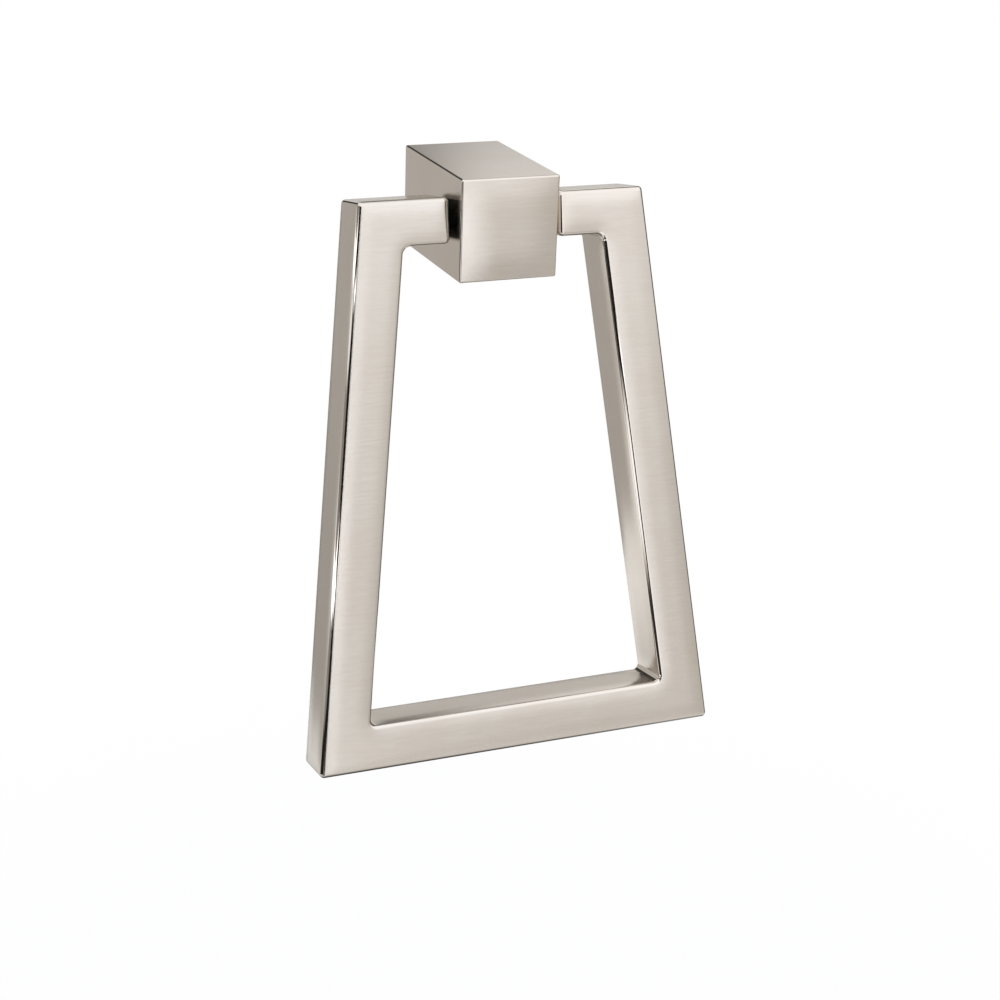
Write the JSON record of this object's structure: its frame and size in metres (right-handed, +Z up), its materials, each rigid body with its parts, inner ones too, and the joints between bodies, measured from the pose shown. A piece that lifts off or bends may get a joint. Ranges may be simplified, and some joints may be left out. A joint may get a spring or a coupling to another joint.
{
  "type": "ring pull handle",
  "caption": "Drawer ring pull: a square post screwed on from behind, with a trapezoid bar ring that swings on two pins in the post.",
  "frame": {"origin": "centre of the post's back face, at the mouth of its mounting hole, where the handle meets the drawer front", "axes": "+X to the right, +Y back into the drawer front, +Z up; the handle stands out along -Y and the ring hangs along -Z, swung a little forward"},
  "size_m": [0.08, 0.0454, 0.1093],
  "materials": {
    "satin_nickel": "fine brushed satin nickel, clear coated",
    "pin_steel": "ground steel"
  },
  "bodies": {
    "post": {"post": "satin_nickel"},
    "ring": {"ring": "satin_nickel", "pivot_pin_left": "pin_steel", "pivot_pin_right": "pin_steel"}
  },
  "joints": [
    {"name": "ring_swing", "type": "hinge", "parent": "post", "child": "ring", "pos_m": [0, -0.02275, 0.0007], "axis": [-1, 0, 0], "range_deg": [-19.9, 179.9]}
  ]
}
